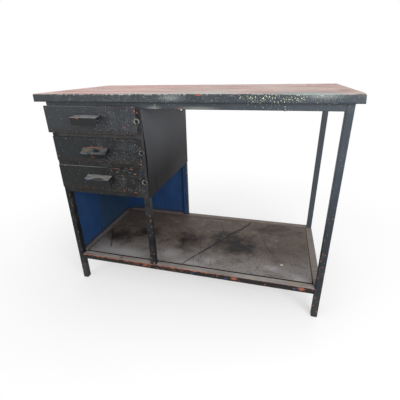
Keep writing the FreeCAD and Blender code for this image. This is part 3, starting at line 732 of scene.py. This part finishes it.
# The rails below the middle drawer are painted darker than the upper rail: painted shade low in the pedestal
DIVIDER = tube_enamel("shaded_dull_enamel_between_drawers", "#1b1a1a", "#1b1a1a")
LOOKS = {
    # The post is painted near black low down and grey high up: painted shade and light
    "front_post": tube_enamel("brushed_enamel_on_the_post", "#0c0a0b", "#333335"),
    # The upper rail between the drawers is brown with dust and also painted lighter than the rails below: dust
    # and painted light
    "upper_divider_rail": tube_enamel("dusty_and_lit_enamel_between_drawers", "#353332", "#353332"),
    "lower_divider_rail": DIVIDER,
    "pedestal_bottom_rail": DIVIDER,
    "leg_rear_left": tube_enamel("brushed_enamel_blue_to_the_right", inward=(0.7, -0.7, 0)),
    "rear_post": tube_enamel("brushed_enamel_blue_to_the_left", inward=(-0.7, -0.7, 0)),
    "worktop_skin": SKIN,
    "worktop_board": BOARD,
    "worktop_screws": zinc_plate(),
    "shelf_deck": deck_steel(),
    "left_side_panel": blue_enamel("blue_enamel_on_the_side", (1, 0, 0), 0.85),
    "back_panel": blue_enamel("blue_enamel_on_the_back", (0, -1, 0), 0),
    "right_side_panel": PANEL,
    # The fronts are painted darker from the upper drawer to the lower: painted shade
    "upper_drawer_front": front_enamel("spattered_enamel_upper", -267, 750, "#33363a", "#303236", 0.95, [
        (-278, 855, 2.7), (-166, 855, 3.2), (-161, 840, (2.2, 2.7, 5.4)), (-208, 780, 2.7),
        (-284, 749, (7.1, 2.2, 1.7)), (-545, 845, 2.7), (-534, 814, 2.2), (-190, 855, 2.2), (-262, 855, 1.7),
    ], [(-168, 847, 1.7)], 0.35),
    "middle_drawer_front": front_enamel("spattered_enamel_middle", -251, 626.5, "#222527", "#1e1f21", 1, [
        (-267, 731.5, 2.7), (-160, 698.5, 2.2), (-161, 646.5, 2.7), (-192, 625.5, 2.2),
        (-545, 647.5, (2.2, 2.7, 4.3)), (-163, 631.5, 2.7), (-540, 724.5, 1.7),
    ]),
    "lower_drawer_front": front_enamel("spattered_enamel_lower", -251, 503, "#1f2020", "#181717", 0.75, [
        (-277, 591, 2.7), (-256, 579, 2.2), (-251, 564, 3.2), (-194, 588, (3.8, 2.2, 2.2)),
        (-254, 513, (2.2, 2.2, 4.3)), (-200, 505, (7.1, 2.2, 2.2)), (-402, 506, 2.2), (-470, 506, 2.2),
        (-525, 606, 3.2), (-280, 608, (16.2, 2.2, 1)), (-210, 608, (7.6, 2.2, 1.7)),
    ], [(-162, 594, (1.7, 2.2, 3.2))], 0.5),
    "upper_drawer_pull": pull_enamel("rubbed_enamel_upper_pull", "#888b8d", [
        (PRIMER, [((-394, -304, 819), 3.5), ((-382, -304, 817), 4.5)]),
    ]),
    "middle_drawer_pull": pull_enamel("rubbed_enamel_middle_pull", "#5b5d5f", [
        ("#6f624c", [((-394, -267, 684.5), (17, 12, 12))]),
        ("#1d1d1e", [((-345, -269, 681.5), (17, 9, 8))]),
        ("#4a5a6b", [((-395, -282, 671.5), (18, 3, 4))]),
        (PRIMER, [((-360, -253, 692.5), (52, 3.5, 3)), ((-366, -275, 656), (10, 12, 4.5)),
                  ((-360, -282, 671.5), 3.5)]),
    ]),
    "lower_drawer_pull": pull_enamel("rubbed_enamel_lower_pull", "#8b8a89", [
        ("#3a5680", [((-398, -284, 562), (11, 3, 3))]),
        ("#3c3a39", [((-350, -281, 566), (34, 9, 9))]),
    ]),
}
LOOKS_BY_WORD = {
    "runner": galvanised_sheet(),
    "ring": ring_steel(),
    "tray": tray_enamel(),
    "shelf_rail": shelf_rail_enamel(),
}
for name, piece in nodes.items():
    look = LOOKS.get(name, TUBE)
    for word, shared in LOOKS_BY_WORD.items():
        if word in name:
            look = shared
    piece.data.materials.clear()
    piece.data.materials.append(look)


# Pieces that Blender shapes

SKIN_FRONT = -0.26175
SKIN_RIGHT = 0.6
SKIN_GAUGE = 0.002
SKIN_HEIGHT = 0.03
SKIN_BEND = 0.003
SKIN_CORNER = 0.002
SKIN_STEP = 0.008
EDGE_STEP = 0.005
TOP_INSETS = (0.006, 0.010, 0.016, 0.026, 0.045)
CORNER_TURNS = 4
NICK = 0.0022
NICKS_PER_METRE = 24
RIPPLES_PER_METRE = 7
TOP_RIPPLE = 0.0004
LIP_BACK = 0.03
LIP_DOWN = 0.022
LIP_WEAR = 0.002
LIP_WORN_FROM = 0.25
LIP_WORN_FADE = 0.15
CORNER_CRUSH = 0.002
CRUSH_REACH = 0.03
BOARD_PLANED = 0.012
PANEL_SPRING = 0.0072
PANEL_SPRING_REACH = 0.2
PANEL_STEPS_UP = 20
PANEL_STEPS_BACK = 8
GRIME_BELOW = 0.0015
WELD_INSET = 0.003


def keep(name, mesh, body, look):
    """A finished mesh as a piece that rides on a body, in one given material."""
    mesh.name = name
    mesh.materials.clear()
    mesh.materials.append(look)
    piece = bpy.data.objects.new(name, mesh)
    bpy.context.scene.collection.objects.link(piece)
    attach(piece, body)
    return piece


def settle(name, mesh, modify):
    """The plain mesh that a modifier makes of another mesh."""
    holder = bpy.data.objects.new(name, mesh)
    bpy.context.scene.collection.objects.link(holder)
    modify(holder)
    graph = bpy.context.evaluated_depsgraph_get()
    result = bpy.data.meshes.new_from_object(holder.evaluated_get(graph))
    bpy.data.objects.remove(holder)
    return result


def reshaped(node, change):
    """A copy of a node's mesh that a function has changed, knowing the node's box."""
    copy = nodes[node].data.copy()
    mesh = bmesh.new()
    mesh.from_mesh(copy)
    bmesh.ops.remove_doubles(mesh, verts=mesh.verts, dist=1e-6)
    change(mesh, *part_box(node))
    mesh.to_mesh(copy)
    mesh.free()
    return copy


def near(away, reach):
    """1 at a thing, down to 0 at a reach away from it."""
    return max(0, 1 - away / reach)


def outline(low, high, corner, step):
    """A rectangle with rounded corners, as points about one step apart, anticlockwise from the front left."""
    points = []
    left, right, front, back = low.x + corner, high.x - corner, low.y + corner, high.y - corner
    sides = [
        ((left, low.y), (right, low.y), (right, front), -90),
        ((high.x, front), (high.x, back), (right, back), 0),
        ((right, high.y), (left, high.y), (left, back), 90),
        ((low.x, back), (low.x, front), (left, front), 180),
    ]
    for *ends, turn in sides:
        begin, end, centre = [Vector(point) for point in ends]
        count = round((end - begin).length / step)
        points += [begin.lerp(end, at / count) for at in range(count)]
        for at in range(CORNER_TURNS):
            angle = math.radians(turn + at * 90 / CORNER_TURNS)
            points.append(centre + corner * Vector((math.cos(angle), math.sin(angle))))
    return points


def beaten(point, high):
    """Where a point of the skin has been knocked to: nicks along the front edge and a crushed right corner."""
    at_lip = near(point.y - SKIN_FRONT, LIP_BACK) * near(high - point.z, LIP_DOWN)
    hits = max(0, noise.noise(Vector((point.x * NICKS_PER_METRE, 3.7, point.z * 10))) - 0.12) * 2
    ripple = noise.noise(Vector((point.x * RIPPLES_PER_METRE, point.y * RIPPLES_PER_METRE, 1.3)))
    nick = at_lip * hits * NICK
    worn = at_lip * max(0, min(1, (point.x - LIP_WORN_FROM) / LIP_WORN_FADE)) * LIP_WEAR
    corner = Vector((SKIN_RIGHT, SKIN_FRONT, high))
    crush = near((corner - point).length, CRUSH_REACH) ** 1.5 * CORNER_CRUSH
    moved = Vector((-crush * 0.8, nick + worn * 0.7 + crush * 0.6, -nick * 0.7 - worn - crush * 0.8))
    moved.z += ripple * TOP_RIPPLE * near(high - point.z, MM)
    return point + moved


def worktop_skin():
    """The folded steel skin: a shallow lid with bent edges, nicked in front and crushed at its right corner."""
    low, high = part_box("worktop_skin")
    mesh = bmesh.new()
    rings = [(0, at * EDGE_STEP) for at in range(5)]
    for at in (0, 30, 60, 90):
        turn = math.radians(at)
        rings.append((SKIN_BEND * (1 - math.cos(turn)), SKIN_HEIGHT - SKIN_BEND + SKIN_BEND * math.sin(turn)))
    rings += [(inset, SKIN_HEIGHT) for inset in TOP_INSETS]
    outer = outline(low, high, SKIN_CORNER, SKIN_STEP)
    middle = Vector(((low.x + high.x) / 2, (low.y + high.y) / 2))
    half = Vector(((high.x - low.x) / 2, (high.y - low.y) / 2))
    loops = []
    for inset, rise in rings:
        loop = []
        for point in outer:
            away = point - middle
            drawn = Vector((away.x * (1 - inset / half.x), away.y * (1 - inset / half.y)))
            loop.append(mesh.verts.new(beaten(Vector((*(middle + drawn), low.z + rise)), high.z)))
        loops.append(loop)
    count = len(outer)
    for under, over in zip(loops, loops[1:]):
        for at in range(count):
            after = (at + 1) % count
            mesh.faces.new((under[at], under[after], over[after], over[at])).smooth = True
    mesh.faces.new(loops[-1]).smooth = True
    shell = bpy.data.meshes.new("worktop_skin_shell")
    mesh.to_mesh(shell)
    mesh.free()

    def thicken(holder):
        wall = holder.modifiers.new("wall", "SOLIDIFY")
        wall.thickness = SKIN_GAUGE
        wall.offset = -1
        wall.use_even_offset = True

    piece = keep("beaten_worktop_skin", settle("skin_shell", shell, thicken), "frame", SKIN)
    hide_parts("worktop_skin")


def worktop_board():
    """The board in the skin, its upper front arris planed back to lie under the worn lip and crushed corner."""
    def plane(mesh, low, high):
        for vert in mesh.verts:
            if vert.co.z > high.z - MM and vert.co.y < low.y + MM:
                vert.co.y += BOARD_PLANED
                if vert.co.x > 0:
                    vert.co.x -= BOARD_PLANED

    piece = keep("planed_worktop_board", reshaped("worktop_board", plane), "frame", BOARD)
    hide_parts("worktop_board")


def side_panel():
    """The thin panel on the posts' side, which has sprung away from the front post between its ends."""
    def spring(mesh, low, high):
        tall = high.z - low.z
        cuts = [(Vector((0, 0, low.z + step * tall / PANEL_STEPS_UP)), UP) for step in range(1, PANEL_STEPS_UP)]
        for step in range(1, PANEL_STEPS_BACK + 1):
            cuts.append((Vector((0, low.y + step * PANEL_SPRING_REACH / PANEL_STEPS_BACK, 0)), BACK))
        for place, way in cuts:
            everything = mesh.verts[:] + mesh.edges[:] + mesh.faces[:]
            bmesh.ops.bisect_plane(mesh, geom=everything, plane_co=place, plane_no=way)
        for vert in mesh.verts:
            arch = math.sin(math.pi * (vert.co.z - low.z) / tall) ** 2
            vert.co.x += PANEL_SPRING * arch * near(vert.co.y - low.y, PANEL_SPRING_REACH) ** 2

    piece = keep("sprung_side_panel", reshaped("right_side_panel", spring), "frame", PANEL)
    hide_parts("right_side_panel")


def seam_grime():
    """Dirt that fills the seam between the deck and the angles round it, a little below their tops."""
    low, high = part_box("shelf_deck")
    front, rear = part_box("shelf_rail_front")[1].y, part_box("shelf_rail_rear")[0].y
    left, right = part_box("shelf_rail_left")[1].x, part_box("shelf_rail_right")[0].x
    mesh = bmesh.new()
    rings = []
    for low_x, low_y, high_x, high_y in ((left, front, right, rear), (low.x, low.y, high.x, high.y)):
        for level in (low.z, high.z - GRIME_BELOW):
            corners = ((low_x, low_y), (high_x, low_y), (high_x, high_y), (low_x, high_y))
            rings.append([mesh.verts.new((*corner, level)) for corner in corners])
    outer_under, outer_over, inner_under, inner_over = rings
    round_about = (outer_under, outer_over, inner_over, inner_under, outer_under)
    for first, second in zip(round_about, round_about[1:]):
        for at in range(4):
            after = (at + 1) % 4
            mesh.faces.new((first[at], first[after], second[after], second[at]))
    strip = bpy.data.meshes.new("seam_grime")
    mesh.to_mesh(strip)
    mesh.free()
    keep("seam_grime", strip, "frame", packed_grime())


def bead_tree():
    """Weld beads along the lines of a mesh: overlapping ripples, each a little larger or smaller."""
    tree = bpy.data.node_groups.new("weld_bead", "GeometryNodeTree")
    kinds = {"Lines": "Geometry", "Ripple Spacing": "Float", "Bead Width": "Float", "Unevenness": "Float",
             "Seed": "Int", "Finish": "Material"}
    for label, kind in kinds.items():
        tree.interface.new_socket(label, in_out="INPUT", socket_type="NodeSocket" + kind)
    tree.interface.new_socket("Beads", in_out="OUTPUT", socket_type="NodeSocketGeometry")
    given = add(tree, "NodeGroupInput")
    path = add(tree, "GeometryNodeMeshToCurve", {"Mesh": given["Lines"]})[0]
    steps = add(tree, "GeometryNodeResampleCurve", {"Curve": path, "Length": given["Ripple Spacing"]},
                mode="LENGTH")[0]
    radius = add(tree, MATH, [given["Bead Width"], 0.5], "MULTIPLY")[0]
    ripple = add(tree, "GeometryNodeMeshUVSphere", {"Segments": 8, "Rings": 5, "Radius": radius})[0]
    least = add(tree, MATH, [1, given["Unevenness"]], "SUBTRACT")[0]
    most = add(tree, MATH, [1, given["Unevenness"]])[0]
    size = add(tree, "FunctionNodeRandomValue", {2: least, 3: most, "Seed": given["Seed"]})[1]
    ripples = add(tree, "GeometryNodeInstanceOnPoints", {"Points": steps, "Instance": ripple, "Scale": size})[0]
    solid = add(tree, "GeometryNodeRealizeInstances", [ripples])[0]
    smooth = add(tree, "GeometryNodeSetShadeSmooth", [solid])[0]
    done = add(tree, "GeometryNodeSetMaterial", {"Geometry": smooth, "Material": given["Finish"]})[0]
    add(tree, "NodeGroupOutput", {"Beads": done})
    return tree


BEAD = bead_tree()


def welds(name, body, lines, width, seed):
    """One body's weld beads, each along a line from one point to another."""
    mesh = bpy.data.meshes.new(name)
    points = [point for line in lines for point in line]
    mesh.from_pydata(points, [(at, at + 1) for at in range(0, len(points), 2)], [])

    def weld(holder):
        bead = holder.modifiers.new("bead", "NODES")
        bead.node_group = BEAD
        sizes = {"Ripple Spacing": width * 0.4, "Bead Width": width, "Unevenness": 0.18, "Seed": seed,
                 "Finish": TUBE}
        for item in BEAD.interface.items_tree:
            if item.in_out == "INPUT" and item.name in sizes:
                bead[item.identifier] = sizes[item.name]

    keep(name, settle(name, mesh, weld), body, TUBE)


# Pieces, the axis at whose two ends each is welded, and the levels there: 0 its lowest, 1 its highest
FRAME_JOINTS = [
    (("top_rail_front", "top_rail_rear", "upper_divider_rail", "lower_divider_rail", "pedestal_bottom_rail"),
     0, [0]),
    (("top_rail_left", "top_rail_right"), 1, [0]),
    (("front_post", "rear_post"), 0, [1, 0]),
    (("shelf_rail_front", "shelf_rail_rear"), 0, [1]),
]


def frame_weld_lines():
    """The inside corners where tubes and angles meet, along the free width of each joint."""
    lines = []
    inset = Vector((WELD_INSET, WELD_INSET, WELD_INSET))
    for names, axis, levels in FRAME_JOINTS:
        for name in names:
            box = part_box(name)
            for side in box:
                for level in levels:
                    begin, end = box[0] + inset, box[1] - inset
                    begin[axis] = end[axis] = side[axis]
                    begin.z = end.z = box[level].z
                    lines.append((begin, end))
    return lines


def drawer_weld_lines(drawer):
    """Two tacks along the upper back edge of a pull and one beside a ring."""
    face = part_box(f"{drawer}_drawer_front")[0].y
    low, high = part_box(f"{drawer}_drawer_pull")
    ring_low, ring_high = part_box(f"{drawer}_drawer_ring")
    middle = (ring_low.z + ring_high.z) / 2
    tack, inset, half = 0.02, 0.004, 0.006
    beside = ring_low.x + 0.002
    return [
        (Vector((low.x + inset, face, high.z)), Vector((low.x + inset + tack, face, high.z))),
        (Vector((high.x - inset - tack, face, high.z)), Vector((high.x - inset, face, high.z))),
        (Vector((beside, face, middle - half)), Vector((beside, face, middle + half))),
    ]


worktop_skin()
worktop_board()
side_panel()
seam_grime()
welds("frame_welds", "frame", frame_weld_lines(), 0.0045, 3)
for step, drawer in enumerate(("upper", "middle", "lower")):
    welds(f"{drawer}_drawer_tacks", f"{drawer}_drawer", drawer_weld_lines(drawer), 0.0035, 5 + step)


# Camera, light and floor

CAMERA_PLACE = (0.35398, -1.2582, 0.97812)
CAMERA_TURN = 15.44
CAMERA_TILT = -23.25
CAMERA_ROLL = -1.325
FOCAL_PIXELS = 290.06
IMAGE_PIXELS = 400
LENS_CENTRE = (199.78, 193.08)
FLOOR_HALF = 20


def camera():
    """The camera at the photograph's place."""
    lens = bpy.data.cameras.new("camera")
    lens.sensor_width = 36
    lens.lens = FOCAL_PIXELS / IMAGE_PIXELS * lens.sensor_width
    lens.shift_x = 0.5 - LENS_CENTRE[0] / IMAGE_PIXELS
    lens.shift_y = LENS_CENTRE[1] / IMAGE_PIXELS - 0.5
    holder = bpy.data.objects.new("camera", lens)
    turn = Matrix.Rotation(math.radians(CAMERA_TURN), 4, "Z")
    tilt = Matrix.Rotation(math.radians(90 + CAMERA_TILT), 4, "X")
    roll = Matrix.Rotation(math.radians(CAMERA_ROLL), 4, "Z")
    holder.matrix_world = Matrix.Translation(CAMERA_PLACE) @ turn @ tilt @ roll
    bpy.context.scene.collection.objects.link(holder)
    bpy.context.scene.camera = holder


def lamp(name, place, aim, size, power):
    """A square soft box."""
    light = bpy.data.lights.new(name, "AREA")
    light.size = size
    light.energy = power
    holder = bpy.data.objects.new(name, light)
    way = Vector(aim) - Vector(place)
    holder.matrix_world = Matrix.Translation(place) @ way.to_track_quat("-Z", "Y").to_matrix().to_4x4()
    bpy.context.scene.collection.objects.link(holder)


def seen_directly(tree):
    """1 for rays that show a surface itself, to the eye or in gloss or glass, and 0 for those that light."""
    path = add(tree, "ShaderNodeLightPath")
    clear = add(tree, MATH, [path["Is Camera Ray"], path["Is Transmission Ray"]], "MAXIMUM")[0]
    return add(tree, MATH, [clear, path["Is Glossy Ray"]], "MAXIMUM")[0]


def sky():
    """Even pale light, white where it is seen."""
    world = bpy.data.worlds.new("studio")
    world.use_nodes = True
    tree = world.node_tree
    tree.nodes.clear()
    strength = add(tree, MIX, {0: seen_directly(tree), 2: 0.55, 3: 1})[0]
    light = add(tree, "ShaderNodeBackground", {"Color": "#ffffff", "Strength": strength})[0]
    add(tree, "ShaderNodeOutputWorld", {"Surface": light})
    bpy.context.scene.world = world


def floor():
    """A wide pale floor that takes the desk's shadow and runs out to white."""
    mesh = bpy.data.meshes.new("floor")
    corners = [(-1, -1), (1, -1), (1, 1), (-1, 1)]
    mesh.from_pydata([(x * FLOOR_HALF, y * FLOOR_HALF, 0) for x, y in corners], [], [(0, 1, 2, 3)])
    piece = bpy.data.objects.new("floor", mesh)
    bpy.context.scene.collection.objects.link(piece)
    material = bpy.data.materials.new("pale_floor")
    material.use_nodes = True
    tree = material.node_tree
    tree.nodes.clear()
    here = add(tree, "ShaderNodeTexCoord")["Object"]
    far = add(tree, VECTOR, [here], "LENGTH")["Value"]
    fade = add(tree, RANGE, [far, 0.5, 1.7, 0.5], interpolation_type="SMOOTHSTEP")[0]
    hidden = add(tree, "ShaderNodeBsdfDiffuse", {"Color": "#a0a0a0"})[0]
    close = add(tree, "ShaderNodeBsdfDiffuse", {"Color": "#fafafa"})[0]
    white = add(tree, "ShaderNodeEmission", {"Strength": 1})[0]
    shown = add(tree, "ShaderNodeMixShader", [fade, close, white])[0]
    both = add(tree, "ShaderNodeMixShader", [seen_directly(tree), hidden, shown])[0]
    add(tree, "ShaderNodeOutputMaterial", {"Surface": both})
    mesh.materials.append(material)


camera()
sky()
lamp("front_box", (1.7, -2.1, 1.3), (0, 0, 0.55), 1.8, 66)
lamp("left_box", (-1.6, -2.2, 1.2), (0, 0, 0.6), 1.4, 14)
lamp("top_box", (0.1, 0.5, 2.8), (0, 0, 0.9), 1.6, 15)
floor()
bpy.context.scene.view_settings.view_transform = "Standard"
